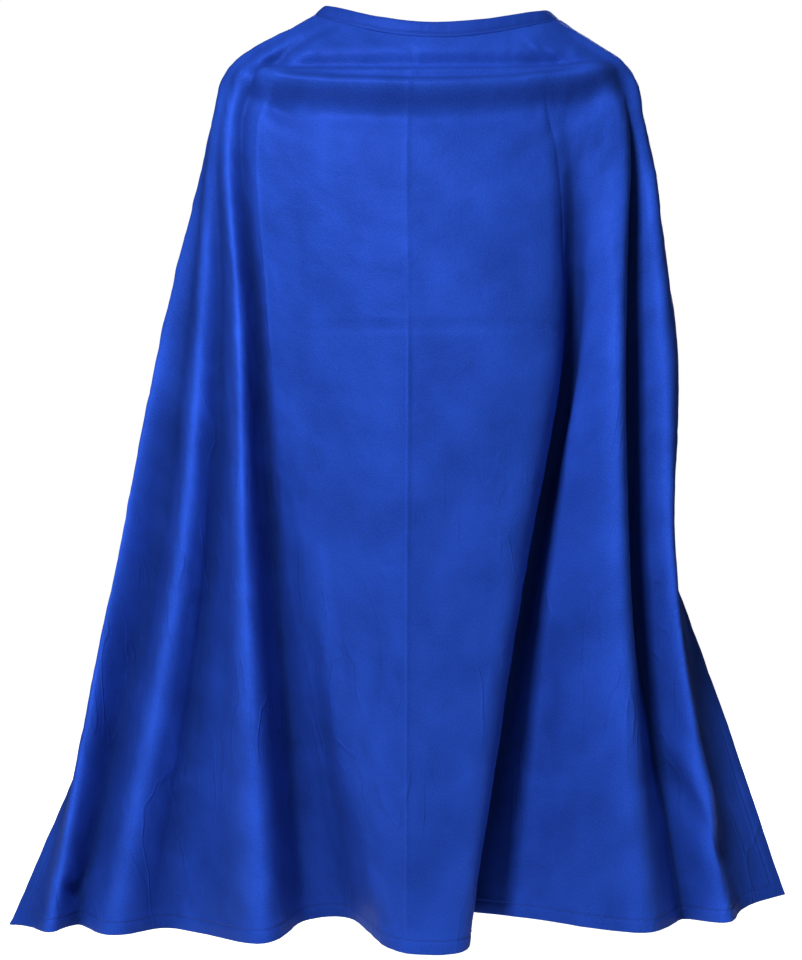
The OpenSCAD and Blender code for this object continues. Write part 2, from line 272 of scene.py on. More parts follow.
def between(x, low, low_end, high, high_end):
    """1 in the middle, with a smooth step up before it and a smooth step down after it."""
    return ramp(x, low, low_end) * (1 - ramp(x, high, high_end))


# Slack folds that hang like swags across the upper back: height at the centre, rise towards
# the wearer's left and right, how far they stand out (or in), half width, and where they
# fade out on each side.
SLACK_FOLDS = [
    (-60, 0, 5, -8.5, 9.0, -175, 160),
    (-73, 5, 11, 6.0, 7.0, -170, 165),
    (-82, 9, 15, -4.0, 6.5, -150, 150),
    (-95, 15, 21, 19.0, 14.0, -195, 172),
    (-122, 20, 24, -5.0, 18.0, -190, 180),
]
SLACK_CENTRE, SLACK_SPAN, SLACK_FADE = -12, 170, 35


def slack_relief(x, z):
    """How far the slack folds stand out of the back."""
    relief = np.zeros_like(x)
    for height, rise_left, rise_right, depth, width, left, right in SLACK_FOLDS:
        off = (x - SLACK_CENTRE) / SLACK_SPAN
        line = height + np.where(off < 0, rise_left, rise_right) * off**2
        fade = between(x, left - SLACK_FADE, left + SLACK_FADE,
                       right - SLACK_FADE, right + SLACK_FADE)
        relief += depth * bell(z - line, width) * fade
    return relief


# Short wrinkles of the back: from (x, z) to (x, z), depth and half width.
WRINKLES = [
    ((-213, -78), (-110, -152), -3.2, 11),
    ((176, -82), (70, -172), -3.0, 12),
    ((-126, -84), (-146, -118), 2.0, 3.6),
    ((-166, -82), (-180, -104), 1.8, 3.6),
    ((96, -34), (116, -56), 1.4, 3),
    ((114, -42), (140, -56), 1.4, 3),
    ((-35, -36), (-24, -52), -1.5, 3),
    ((-175, -226), (-148, -210), -1.1, 3.5),
    ((84, -616), (100, -583), -1.2, 4),
    ((-60, -332), (-8, -340), 1.2, 4),
    ((-50, -676), (-12, -690), 1.3, 5),
    ((-290, -820), (-262, -800), -1.6, 5),
    ((-276, -860), (-240, -838), -1.4, 5),
    ((-262, -905), (-300, -880), -1.3, 5),
    ((-62, -700), (-84, -800), -1.5, 5),
    ((-38, -640), (-64, -760), 1.4, 5),
    ((-110, -560), (-96, -700), -1.6, 7),
    ((-120, -640), (-92, -860), 1.5, 6),
    ((-30, -560), (-12, -650), -1.2, 5),
    ((60, -640), (38, -760), 1.4, 7),
    ((128, -690), (110, -800), -1.5, 7),
    ((160, -740), (150, -880), 1.4, 8),
    ((-250, -640), (-262, -780), 1.3, 6),
    ((226, -788), (268, -842), -4.0, 10),
    ((268, -842), (322, -918), -4.5, 10),
    ((250, -770), (296, -850), 4.0, 11),
    ((330, -900), (356, -918), 4.0, 6),
    ((322, -922), (350, -900), -3.0, 5),
    ((-396, -944), (-378, -922), -4.0, 6),
    ((-400, -920), (-384, -950), -4.0, 6),
]


def wrinkle_relief(x, z):
    """How far the short wrinkles stand out, each deepest in its middle."""
    relief = np.zeros_like(x)
    for (x0, z0), (x1, z1), depth, width in WRINKLES:
        dx, dz = x1 - x0, z1 - z0
        along = ((x - x0) * dx + (z - z0) * dz) / (dx * dx + dz * dz)
        nearest = np.clip(along, 0, 1)
        d = np.hypot(x - x0 - nearest * dx, z - z0 - nearest * dz)
        relief += depth * bell(d, width) * (0.35 + 0.65 * np.sin(math.pi * nearest))
    return relief


def from_line(points, stations, station):
    """How far each point lies from its own level's point at one station."""
    k = np.argmin(np.abs(stations - station), axis=1)
    return np.linalg.norm(points - points[np.arange(len(points)), k][:, None, :], axis=2)


# Creases left by folding the cape into its packet: station, first and last level, depth.
UPRIGHT_CREASES = [(10.0, 1.5, 3.4, 0.75), (10.0, 3.0, 5.0, 2.1), (8.1, 1.9, 3.2, 0.9),
                   (11.55, 1.7, 3.4, -0.8), (4.6, 3.6, 4.9, 1.2)]
CREASE_W, CROSS_CREASE_W = 2.4, 3.5
# Creases across: level, first and last station, depth. A level counts as this long there.
CREASE_LEVEL_MM = 300
CROSS_CREASES = [(3.0, 9.0, 11.6, -1.3), (4.58, 12.5, 15.0, -1.5), (4.05, 2.6, 6.5, 0.9)]


def crease_relief(points, levels, stations):
    """How far the packet's creases stand out."""
    relief = np.zeros(points.shape[:2])
    level = np.repeat(levels[:, None], points.shape[1], axis=1)
    for station, top, bottom, depth in UPRIGHT_CREASES:
        d = from_line(points, stations, station)
        reach = between(level, top - 0.1, top + 0.2, bottom - 0.2, bottom + 0.1)
        relief += depth * bell(d, CREASE_W) * reach
    for at, left, right, depth in CROSS_CREASES:
        gap = np.abs(level - at) * CREASE_LEVEL_MM
        reach = between(stations, left, left + 0.6, right - 0.6, right)
        relief += depth * bell(gap, CROSS_CREASE_W) * reach
    return relief


# The valleys between the folds pinch in behind the ridges: station, first level, depth and
# half width of the pinch.
PINCHES = [(12.0, 2.0, -11, 8), (15.0, 1.3, -8, 6)]


def pinch_relief(points, levels, stations):
    """How far the pinched valleys go in."""
    relief = np.zeros(points.shape[:2])
    for station, top, depth, width in PINCHES:
        grow = ramp(levels, top, top + 1.2)[:, None]
        relief += depth * grow * np.exp(-from_line(points, stations, station) / width)
    return relief


def hem_relief(levels, stations):
    """The turned hem stands a little proud, and its row of stitches pulls it in."""
    first, last = edge_lengths(levels)
    from_edge = np.minimum(stations * first[:, None], (LAST_FOLD - stations) * last[:, None])
    from_bottom = np.repeat(((HEM_LEVEL - levels) * LEVEL_MM)[:, None], stations.shape[1], axis=1)
    inset = np.minimum(from_edge, from_bottom)
    proud = 0.8 * (1 - ramp(inset, HEM_W - 0.6, HEM_W + 1.4))
    groove = -1.0 * bell(inset - STITCH_INSET, 1.4)
    return proud + groove, inset


def cloth_points():
    """The finished outer face, its outward normals, and the cloth's own coordinates."""
    points = surface(LEVELS, STATIONS)
    u, v = cloth_uv(points)
    x, z = points[..., 0], points[..., 2]
    back = between(STATIONS, 1.8, 2.8, 16.8, 17.8)
    # Lazy undulation of the hanging folds, then the small unevenness of soft knit.
    fade_in = ramp(v, 60, 260)
    lazy = 1.8 * soft_noise(u, v, 38, 260, 3) + 0.7 * soft_noise(u, v, 19, 120, 4)
    small = 0.5 * soft_noise(u, v, 9, 26, 5) + 0.35 * soft_noise(u + v, u - v, 14, 11, 6)
    relief = lazy * fade_in + small
    relief += back * (slack_relief(x, z) + wrinkle_relief(x, z))
    relief += back * crease_relief(points, LEVELS, STATIONS)
    relief += pinch_relief(points, LEVELS, STATIONS)
    proud, inset = hem_relief(LEVELS, STATIONS)
    pucker = 0.35 * soft_noise(u, v, 5, 400, 8) * (1 - ramp(inset, 16, 34))
    relief += proud + pucker
    seam_hold = ramp(v, 0, 5)
    finished = points + face_normals(points) * (relief * seam_hold)[..., None]
    return finished, face_normals(finished), u, v


def painted_light_levels(points, normals):
    """How far each point stands out on the top of a fold (1) or lies in its hollow (-1), which
    sets the painted highlight and painted shade.
    """
    painted_light = np.zeros(points.shape[:2])
    for k, row in enumerate(points):
        mean = smoothed(row, run_along(row), PAINTED_LIGHT_REACH)
        painted_light[k] = ((row - mean) * normals[k]).sum(axis=1) / PAINTED_LIGHT_HEIGHT
    ends = between(STATIONS, 0.6, 2.0, 17.0, 18.4)
    return np.clip(painted_light, -1, 1) * ends


# ---------------------------------------------------------------- mesh helpers
def new_object(name, data):
    """An object in the scene, made from its data."""
    made = bpy.data.objects.new(name, data)
    bpy.context.scene.collection.objects.link(made)
    return made


def new_piece(name, points, faces, uv=None):
    """A mesh object from points in millimetres, with smooth faces."""
    mesh = bpy.data.meshes.new(name)
    mesh.from_pydata((np.asarray(points) * MM).tolist(), [], faces)
    mesh.update()
    if uv is not None:
        layer = mesh.uv_layers.new(name="cloth")
        index = np.empty(len(mesh.loops), dtype=int)
        mesh.loops.foreach_get("vertex_index", index)
        layer.data.foreach_set("uv", np.asarray(uv)[index].astype(np.float32).ravel())
    mesh.shade_smooth()
    return new_object(name, mesh)


def grid_faces(rows, cols):
    """The faces of a grid of points, listed row by row."""
    return [(j * cols + i, (j + 1) * cols + i, (j + 1) * cols + i + 1, j * cols + i + 1)
            for j in range(rows - 1) for i in range(cols - 1)]


def ring_faces(rings, sides):
    """The faces of a tube through rings of points, open at both ends."""
    return [(j * sides + i, j * sides + (i + 1) % sides, (j + 1) * sides + (i + 1) % sides,
             (j + 1) * sides + i) for j in range(rings - 1) for i in range(sides)]


def flat_ends(rings, sides):
    """The two end faces of such a tube."""
    return [tuple(range(sides))[::-1], tuple(range((rings - 1) * sides, rings * sides))]


def copied_faces(faces, each, copies):
    """The faces of copies of a small model that has so many points each."""
    return [tuple(i + k * each for i in face) for k in range(copies) for face in faces]


def only(piece):
    """Make one piece the selected and active one."""
    bpy.ops.object.select_all(action="DESELECT")
    piece.select_set(True)
    bpy.context.view_layer.objects.active = piece


def apply_modifiers(piece):
    """Apply all of a piece's modifiers, in order."""
    only(piece)
    for modifier in list(piece.modifiers):
        bpy.ops.object.modifier_apply(modifier=modifier.name)
    piece.select_set(False)


def give_thickness(piece, thickness):
    """Thicken a sheet inwards from its outer face."""
    solid = piece.modifiers.new("cloth thickness", "SOLIDIFY")
    solid.thickness = thickness * MM
    solid.offset = -1
    solid.use_even_offset = False
    apply_modifiers(piece)


# ---------------------------------------------------------------- the cape cloth
CLOTH_T = 0.5
TURN_GAP = 1.3
NOSE = 0.55
CLOTH_NODES = [
    "upper_back", "left_back_shoulder", "right_back_shoulder", "left_front_shoulder",
    "right_front_shoulder", "left_front_panel", "left_side_folds", "left_main_fold",
    "left_tuck", "centre_fold", "right_tuck", "right_main_fold", "right_side_folds",
    "right_front_panel", "bottom_hem", "left_front_hem", "right_front_hem",
]
outer, outward, cloth_u, cloth_v = cloth_points()


def with_turned_hems(outer, outward, u, v):
    """The cloth with its bottom turned up inside, then both front edges turned in over it."""
    steps = np.array(HEM_STEPS)
    up = slice(None, -HEM_ROWS - 1, -1)
    nose = outer[-1:] + unit(outer[-1:] - outer[-2:-1]) * NOSE
    face = np.concatenate([outer, nose, outer[up]])
    way = np.concatenate([outward, outward[-1:], outward[up]])
    u = np.concatenate([u, u[-1:], u[up]])
    v = np.concatenate([v, v[-1:] + NOSE, v[-1:] + NOSE + steps[:, None]])
    main = np.array([0] * len(outer) + [0.5] + [1] * HEM_ROWS) * TURN_GAP
    in_hem = 1 - ramp((HEM_LEVEL - LEVELS) * LEVEL_MM, HEM_W - 0.4, HEM_W + 1.4)
    side = np.concatenate([1 + 2 * in_hem, [2.5], [2] * HEM_ROWS]) * TURN_GAP
    main, side = main[:, None, None], side[:, None, None]

    def fold(first, step):
        """One edge's fold and flap. The step from its column inwards is 1 or -1."""
        ways = range(first, first + step * HEM_ROWS, step)
        edge = face[:, first] + unit(face[:, first] - face[:, first + step]) * NOSE
        edge = edge[:, None] - way[:, first][:, None] * (main + side) / 2
        flap = (face - way * side)[:, ways]
        sign = -step
        edge_u = u[:, first][:, None] + sign * NOSE
        flap_u = edge_u + sign * steps[None, :]
        return edge, flap, edge_u, flap_u, v[:, ways]

    left_edge, left_flap, left_edge_u, left_u, left_v = fold(0, 1)
    right_edge, right_flap, right_edge_u, right_u, right_v = fold(face.shape[1] - 1, -1)
    grid = np.concatenate([left_flap[:, ::-1], left_edge, face - way * main,
                           right_edge, right_flap], axis=1)
    grid_u = np.concatenate([left_u[:, ::-1], left_edge_u, u, right_edge_u, right_u], axis=1)
    grid_v = np.concatenate([left_v[:, ::-1], v[:, :1], v, v[:, -1:], right_v], axis=1)
    return grid, grid_u, grid_v


cloth_grid, grid_u, grid_v = with_turned_hems(outer, outward, cloth_u, cloth_v)
rows, cols = cloth_grid.shape[:2]
cloth_uvs = np.stack([grid_u, -grid_v], axis=2).reshape(-1, 2) * MM
cape_cloth = new_piece("cape_cloth", cloth_grid.reshape(-1, 3), grid_faces(rows, cols), cloth_uvs)
margin = HEM_ROWS + 1
# The painted highlight on the folds' crowns and painted shade in their hollows, stored on the
# cloth for its colour.
painted_light = np.pad(painted_light_levels(outer, outward), ((0, margin), (margin, margin)), mode="edge")
painted_light_layer = cape_cloth.data.attributes.new("painted_light", "FLOAT", "POINT")
painted_light_layer.data.foreach_set("value", painted_light.astype(np.float32).ravel())
give_thickness(cape_cloth, CLOTH_T)
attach(cape_cloth, "cape")
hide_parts(*CLOTH_NODES)


# ---------------------------------------------------------------- neck band
BAND_H, BAND_GAP, BAND_LEAN, BAND_SIDE_LEAN = 16.5, 0.15, 10, 36
# At the sides the band turns over, and its lower edge stays down on the cloth.
SEAM_TUCK = 0.9
BAND_SECTIONS = 230
# The underlap: how far short of the other edge it stops, how far forward it lies, and the
# slight bow where it leaves the band. Both tips are rounded, with sections at these steps.
LAP_SHORT, LAP_Y, LAP_BOW, LAP_BOW_LEN = 4, 59.75, 0.3, 12
TIP_ROUND = 4
TIP_STEPS = np.array([4, 3, 2, 1.2, 0.6, 0.2, 0])
FRONT_ANGLE = FOLD_LINES[0][0]
END_X = NECK_HALF_W * math.sin(math.radians(FRONT_ANGLE))
END_Z = seam_point(FRONT_ANGLE)[2]
# The band's cross-section: how far in from the cloth's face, and how far above the seam. It
# reaches down over the cloth's raw edge, which is caught between its two sides.
BAND_LOOP = [(-0.35, -1.3), (-0.45, 0.2), (-0.3, 1.6), (0.0, 2.4), (-0.3, 3.2), (-0.5, 5.5),
             (-0.45, 9), (-0.3, 12.5), (-0.05, 14.8), (0.45, 16.0), (1.15, 16.5), (1.85, 16.0),
             (2.35, 14.8), (2.5, 12.5), (2.5, 9), (2.45, 5.5), (2.3, 3.2), (2.05, 2.4),
             (2.3, 1.6), (2.4, 0.2), (2.3, -1.3), (1.0, -1.6)]


def loop_sweep(name, sections):
    """A closed solid through a run of closed cross-sections, with its two ends filled."""
    count, around = sections.shape[:2]
    faces = ring_faces(count, around)
    points = [*sections.reshape(-1, 3), sections[0].mean(axis=0), sections[-1].mean(axis=0)]
    start, end = len(points) - 2, len(points) - 1
    last = (count - 1) * around
    faces += [(start, (i + 1) % around, i) for i in range(around)]
    faces += [(end, last + i, last + (i + 1) % around) for i in range(around)]
    piece = new_piece(name, points, faces)
    only(piece)
    bpy.ops.object.mode_set(mode="EDIT")
    bpy.ops.mesh.select_all(action="SELECT")
    bpy.ops.mesh.normals_make_consistent(inside=False)
    bpy.ops.object.mode_set(mode="OBJECT")
    piece.select_set(False)
    return piece


def neck_path():
    """The seam round the neck, then on across the front as the underlap, and the way in."""
    fine = np.array([seam_point(a) for a in np.linspace(FRONT_ANGLE, 360 - FRONT_ANGLE, 2000)])
    run = run_along(fine)
    even = np.linspace(0, run[-1], BAND_SECTIONS)
    seam = np.stack([np.interp(even, run, fine[:, k]) for k in range(3)], axis=1)
    tip_x = LAP_SHORT - END_X
    lap_x = np.concatenate([np.linspace(END_X - 2.5, tip_x + 5, 26), tip_x + TIP_STEPS])
    lap_y = LAP_Y + LAP_BOW * np.sin(np.clip((END_X - lap_x) / LAP_BOW_LEN, 0, 1) * math.pi)
    lap = np.stack([lap_x, lap_y, np.full(len(lap_x), END_Z)], axis=1)
    path = np.concatenate([seam, lap])
    way = np.gradient(path, axis=0)
    way[:, 2] = 0
    way = unit(way)
    inward = np.stack([-way[:, 1], way[:, 0], np.zeros(len(path))], axis=1)
    inward *= np.sign(np.sum(inward * -path * [1, 1, 0], axis=1))[:, None]
    return path, inward, len(seam)


def tip_height(from_tip):
    """The share of the band's height that is left beside a rounded tip."""
    into = np.clip(TIP_ROUND - from_tip, 0, TIP_ROUND)
    corner = TIP_ROUND - np.sqrt(np.maximum(TIP_ROUND**2 - into**2, 0))
    return (BAND_H - 2 * corner) / BAND_H


band_path, band_in, lap_start = neck_path()
band_run = run_along(band_path)
band_loop = np.array(BAND_LOOP)
lap_share = ramp(np.arange(len(band_path)), lap_start - 3, lap_start + 8)
thin = 1 - 0.42 * lap_share
from_tip = band_run[-1] - band_run
tall = tip_height(from_tip)
wave = soft_noise(band_run, band_run * 0, 16, 1, 21)
fine_wave = soft_noise(band_run, band_run * 0, 5, 1, 22)
depth = band_loop[None, :, 0] * thin[:, None]
height = band_loop[None, :, 1]
height = np.where(height < 0, height * (1 - lap_share[:, None]), height)
height = BAND_H / 2 + (height - BAND_H / 2) * tall[:, None]
lean = BAND_LEAN + BAND_SIDE_LEAN * (band_path[:, :1] / NECK_HALF_W) ** 4
lean = np.radians(lean * (1 - lap_share[:, None]))
sway = (0.5 * wave + 0.25 * fine_wave)[:, None] * np.sin(np.clip(height / BAND_H, 0, 1) * math.pi)
top_wave = 0.35 * wave[:, None] * np.clip(height / BAND_H, 0, 1)
depth, height = depth + sway, height + top_wave
way_in = depth * np.cos(lean) + height * np.sin(lean)
way_up = BAND_GAP + height * np.cos(lean) - (depth + SEAM_TUCK) * np.sin(lean)
band_points = (band_path[:, None, :] + band_in[:, None, :] * way_in[..., None]
               + np.array([0, 0, 1.0]) * way_up[..., None])
neck_band = loop_sweep("neck_band_folded", band_points)
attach(neck_band, "cape")
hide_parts("neck_band", "neck_band_facing", "underlap_end")


# ---------------------------------------------------------------- closure
TAB_T, STRIP_T, STRIP_LEN, STRIP_H, TAB_LEN = 1.6, 1.1, 44, 12.5, 70
LOOP_Y = NECK_HALF_D * math.cos(math.radians(FRONT_ANGLE)) - BAND_GAP
HOOK_Y = LOOP_Y + STRIP_T + 0.3
TAB_Y = HOOK_Y + STRIP_T
TAB_Z = END_Z + BAND_GAP
STRIP_Z = TAB_Z + BAND_H / 2
# The tab's root is sewn to the face of the band, and it stands off from there to its tip.
TAB_ROOT_X, TAB_SEWN_TO, TAB_OFF_FROM = -47.0, -43, -31
tab_tip_x = 0.5 - END_X + TAB_LEN
tab_x = np.concatenate([TAB_ROOT_X + np.array([0, 0.3, 1]), np.linspace(-44, tab_tip_x - 5, 60),
                        tab_tip_x - TIP_STEPS])
on_band = np.array([seam_point(math.degrees(math.asin(-x / NECK_HALF_W))) for x in tab_x])
off = ramp(tab_x, TAB_SEWN_TO, TAB_OFF_FROM)
tab_mid_y = (on_band[:, 1] + 0.5 + TAB_T / 2) * (1 - off) + (TAB_Y + TAB_T / 2) * off
tab_low_z = (on_band[:, 2] + BAND_GAP) * (1 - off) + TAB_Z * off
TAB_LOOP = [(-0.8, 0.5), (-0.8, 2.2), (-0.65, 2.9), (-0.8, 3.6), (-0.8, 8.25), (-0.8, 12.9),
            (-0.65, 13.6), (-0.8, 14.3), (-0.8, 16.0), (-0.45, 16.4), (0.0, 16.5), (0.45, 16.4),
            (0.8, 16.0), (0.8, 14.3), (0.65, 13.6), (0.8, 12.9), (0.8, 8.25), (0.8, 3.6),
            (0.65, 2.9), (0.8, 2.2), (0.8, 0.5), (0.45, 0.1), (0.0, 0.0), (-0.45, 0.1)]
tab_loop = np.array(TAB_LOOP)
tab_tall = tip_height(tab_tip_x - tab_x)
tab_up = BAND_H / 2 + (tab_loop[None, :, 1] - BAND_H / 2) * tab_tall[:, None]
tab_points = np.stack([np.repeat(tab_x[:, None], len(tab_loop), axis=1),
                       tab_mid_y[:, None] - tab_loop[None, :, 0] * np.ones((len(tab_x), 1)),
                       tab_low_z[:, None] + tab_up], axis=2)
closure_tab = loop_sweep("closure_tab_sewn", tab_points)
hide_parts("closure_tab")
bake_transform(closure_tab)


def tape(name, near_y, thickness):
    """A flat strip of tape across the front, with rounded corners."""
    bpy.ops.object.select_all(action="DESELECT")
    bpy.ops.mesh.primitive_cube_add(size=1, location=(0, (near_y + thickness / 2) * MM,
                                                      STRIP_Z * MM))
    strip = bpy.context.object
    strip.name = name
    strip.scale = (STRIP_LEN * MM, thickness * MM, STRIP_H * MM)
    bpy.ops.object.transform_apply(location=True, rotation=False, scale=True)
    bpy.ops.object.mode_set(mode="EDIT")
    bpy.ops.mesh.select_all(action="DESELECT")
    bpy.ops.object.mode_set(mode="OBJECT")
    for edge in strip.data.edges:
        a, b = (strip.data.vertices[i].co for i in edge.vertices)
        edge.select = abs(a.y - b.y) > thickness * MM / 2
    bpy.ops.object.mode_set(mode="EDIT")
    bpy.ops.mesh.select_mode(type="EDGE")
    bpy.ops.mesh.bevel(offset=2 * MM, segments=6)
    bpy.ops.object.mode_set(mode="OBJECT")
    return strip


def joined_copies(name, model, places, scales):
    """One mesh of many copies of a small model: a list of points and a list of faces."""
    points, faces = model
    points = np.asarray(points)
    every = (points[None] * scales[:, None, :] + places[:, None, :]).reshape(-1, 3)
    return new_piece(name, every, copied_faces(faces, len(points), len(places)))


def little_post(profile, sides):
    """A small turned shape that stands out along +Y: points and faces from (radius, height)."""
    turn = [math.tau * k / sides for k in range(sides)]
    points = [(r * math.cos(a), h, r * math.sin(a)) for r, h in profile for a in turn]
    return points, ring_faces(len(profile), sides) + flat_ends(len(profile), sides)


# The hook side is a moulded tape with rows of small heads; the loop side has a soft nap.
TAPE_T = 0.5
HOOK_PITCH = 1.25
hook_tape = tape("hook_tape_base", TAB_Y - TAPE_T, TAPE_T)
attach(hook_tape, "closure")
rows_x = np.arange(-STRIP_LEN / 2 + 1.8, STRIP_LEN / 2 - 1.5, HOOK_PITCH)
rows_z = np.arange(-STRIP_H / 2 + 1.6, STRIP_H / 2 - 1.3, HOOK_PITCH)
hook_places = np.array([(x, TAB_Y - TAPE_T, STRIP_Z + z) for x in rows_x for z in rows_z])
hook_shape = little_post([(0.16, 0), (0.13, -0.34), (0.34, -0.42), (0.3, -0.54), (0.12, -0.59)], 6)
hooks = joined_copies("hook_heads", hook_shape, hook_places, np.ones((len(hook_places), 3)))
hooks.parent = hook_tape
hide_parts("hook_strip")
loop_tape = tape("loop_tape_base", LOOP_Y, TAPE_T)
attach(loop_tape, "cape")
NAP_MM = 0.55
nap_x = np.arange(-STRIP_LEN / 2 + 1.2, STRIP_LEN / 2 - 1.1, NAP_MM)
nap_z = np.arange(-STRIP_H / 2 + 1.0, STRIP_H / 2 - 0.9, NAP_MM)
draw = np.random.default_rng(31)
nap_places = np.array([(x, LOOP_Y + TAPE_T - 0.1, STRIP_Z + z) for x in nap_x for z in nap_z])
nap_places += draw.uniform(-0.18, 0.18, nap_places.shape) * [1, 0, 1]
nap_shape = little_post([(0.3, 0), (0.34, 0.3), (0.2, 0.5)], 5)
nap = joined_copies("loop_nap", nap_shape, nap_places,
                    draw.uniform(0.8, 1.2, nap_places.shape))
nap.parent = loop_tape
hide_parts("loop_strip")


# ---------------------------------------------------------------- care label
LABEL_X, LABEL_W, LABEL_H = -22, 63, 18
LABEL_Y = 5.8 - NECK_HALF_D
LABEL_TOP_Z = SEAM_SIDE_Z - SEAM_BACK_DIP - 1.2
LABEL_TURN = math.radians(4.5)
LABEL_CURL, LABEL_WAVE = 0.9, 0.5
LABEL_SEAM_DOWN, LABEL_SEAM_OUT = 1.9, 0.42
RIBBON_T = 0.14
# A blank ribbon folded double: down the side next to the cape, round the fold, and up again.
ribbon_down = [(-0.28, z) for z in np.linspace(0, -LABEL_H + 0.3, 12)]
ribbon_fold = [(-0.2, -LABEL_H + 0.12), (0.0, -LABEL_H + 0.04), (0.2, -LABEL_H + 0.12)]
ribbon_up = [(0.28, z) for z in np.linspace(-LABEL_H + 0.3, 0, 12)]
ribbon = np.array(ribbon_down + ribbon_fold + ribbon_up)
label_across = np.linspace(-LABEL_W / 2, LABEL_W / 2, 33)
drop = -ribbon[:, 1][:, None] / LABEL_H
follow_seam = (label_across / (LABEL_W / 2)) ** 2
curl = (LABEL_CURL * follow_seam + LABEL_WAVE * np.sin(label_across / 11))[None, :] * drop
away = ribbon[:, 0][:, None] + curl
label_points = np.stack([
    LABEL_X + label_across[None, :] * math.cos(LABEL_TURN) + away * math.sin(LABEL_TURN),
    LABEL_Y - label_across[None, :] * math.sin(LABEL_TURN) + away * math.cos(LABEL_TURN),
    LABEL_TOP_Z + ribbon[:, 1][:, None] + 0 * away], axis=2)
care_label = new_piece("blank_care_label", label_points.reshape(-1, 3),
                       grid_faces(*label_points.shape[:2]))
give_thickness(care_label, RIBBON_T)
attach(care_label, "label")
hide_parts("care_label")


# ---------------------------------------------------------------- stitching
STITCH_PITCH, STITCH_LEN, STITCH_W = 3.2, 2.5, 0.5
STITCH_RINGS = [(-0.5, 0.45, -0.3), (-0.28, 1.0, 0.06), (0.28, 1.0, 0.06), (0.5, 0.45, -0.3)]
STITCH_SIDES = 6
STITCH_PROUD = 0.04
# The closure and the label are sewn with a shorter stitch.
SHORT_PITCH, SHORT_LEN = 2.6, 2.1


def stitches(line, out, pitch, length):
    """The points of the stitches along a line: (stitches, points of one stitch, 3)."""
    run = run_along(line)
    middles = np.arange(pitch / 2, run[-1] - length / 2, pitch)

    def at(values, where):
        """The line's values, read off at distances along it."""
        return np.stack([np.interp(where, run, values[:, k]) for k in range(3)], axis=1)

    centre, normal = at(line, middles), unit(at(out, middles))
    along = unit(at(line, middles + length / 2) - at(line, middles - length / 2))
    side = unit(np.cross(normal, along))
    points = []
    for share, wide, lift in STITCH_RINGS:
        ring_centre = centre + along * length * share + normal * lift
        for k in range(STITCH_SIDES):
            a = math.tau * k / STITCH_SIDES
            spoke = side * math.cos(a) + normal * math.sin(a)
            points.append(ring_centre + spoke * wide * STITCH_W / 2)
    return np.stack(points, axis=1)


def stitch_piece(name, body, replaced, lines, pitch=STITCH_PITCH, length=STITCH_LEN):
    """Rows of stitches along lines, each with the way out of the cloth at its points."""
    blocks = np.concatenate([stitches(line, out, pitch, length) for line, out in lines])
    count, each = blocks.shape[:2]
    shape = len(STITCH_RINGS), STITCH_SIDES
    faces = copied_faces(ring_faces(*shape) + flat_ends(*shape), each, count)
    piece = new_piece(name, blocks.reshape(-1, 3), faces)
    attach(piece, body)
    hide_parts(*replaced)
    return piece


def both_sides(rows, cols):
    """A line of the cloth's grid on the outer face, and the same line on the hem inside."""
    return [(outer[rows, cols], outward[rows, cols]), (inside[rows, cols], -outward[rows, cols])]


hem_row = len(outer) - 1 - STITCH_STEP
left_col, right_col = STITCH_STEP, outer.shape[1] - 1 - STITCH_STEP
inside = outer - outward * (TURN_GAP + STITCH_PROUD)
hem_cols = slice(left_col, right_col + 1)
edge_rows = slice(3, hem_row + 1)
hem_stitches = stitch_piece("hem_stitches", "cape", ["hem_thread"],
                            both_sides(hem_row, hem_cols))
left_stitches = stitch_piece("left_edge_stitches", "cape", ["left_edge_thread"],
                             both_sides(edge_rows, left_col))
right_stitches = stitch_piece("right_edge_stitches", "cape", ["right_edge_thread"],
                              both_sides(edge_rows, right_col))
# The band is stitched along these two points of its cross-section.
GROOVE, INNER_GROOVE = 3, 17
sewn = slice(2, lap_start - 1)
neck_stitches = stitch_piece("neck_stitches", "cape", ["neck_thread"], [
    (band_points[sewn, GROOVE], -band_in[sewn]),
    (band_points[sewn, INNER_GROOVE], band_in[sewn])])


def frame_line(near_x, far_x, low_z, high_z, y):
    """A rectangle of points across the front, corner to corner."""
    corners = [(near_x, low_z), (far_x, low_z), (far_x, high_z), (near_x, high_z), (near_x, low_z)]
    line = []
    for (x0, z0), (x1, z1) in zip(corners, corners[1:]):
        line += [(x0 + (x1 - x0) * t, y, z0 + (z1 - z0) * t) for t in np.linspace(0, 1, 12)[:-1]]
    return np.array(line)


FRAME_HALF_W, FRAME_HALF_H = 20.5, 5.35
tab_frame = frame_line(-FRAME_HALF_W, FRAME_HALF_W, STRIP_Z - FRAME_HALF_H,
                       STRIP_Z + FRAME_HALF_H, TAB_Y + TAB_T)
front_way = np.tile([0.0, 1.0, 0.0], (len(tab_frame), 1))
tab_stitches = stitch_piece("tab_stitches", "closure", ["closure_thread"],
                            [(tab_frame, front_way)], SHORT_PITCH, SHORT_LEN)
label_line = np.stack([
    LABEL_X + label_across * math.cos(LABEL_TURN),
    LABEL_Y - label_across * math.sin(LABEL_TURN) + LABEL_SEAM_OUT + 0.1 * follow_seam,
    np.full(len(label_across), LABEL_TOP_Z - LABEL_SEAM_DOWN)], axis=1)
label_way = np.tile([math.sin(LABEL_TURN), math.cos(LABEL_TURN), 0.0], (len(label_line), 1))
label_stitches = stitch_piece("label_stitches", "label", ["label_thread"],
                              [(label_line, label_way)], SHORT_PITCH, SHORT_LEN)


# ---------------------------------------------------------------- materials
def srgb(code):
    """An sRGB hex colour as linear RGBA."""
    parts = [int(code[i:i + 2], 16) / 255 for i in (1, 3, 5)]
    return (*[p / 12.92 if p <= 0.04045 else ((p + 0.055) / 1.055) ** 2.4 for p in parts], 1)


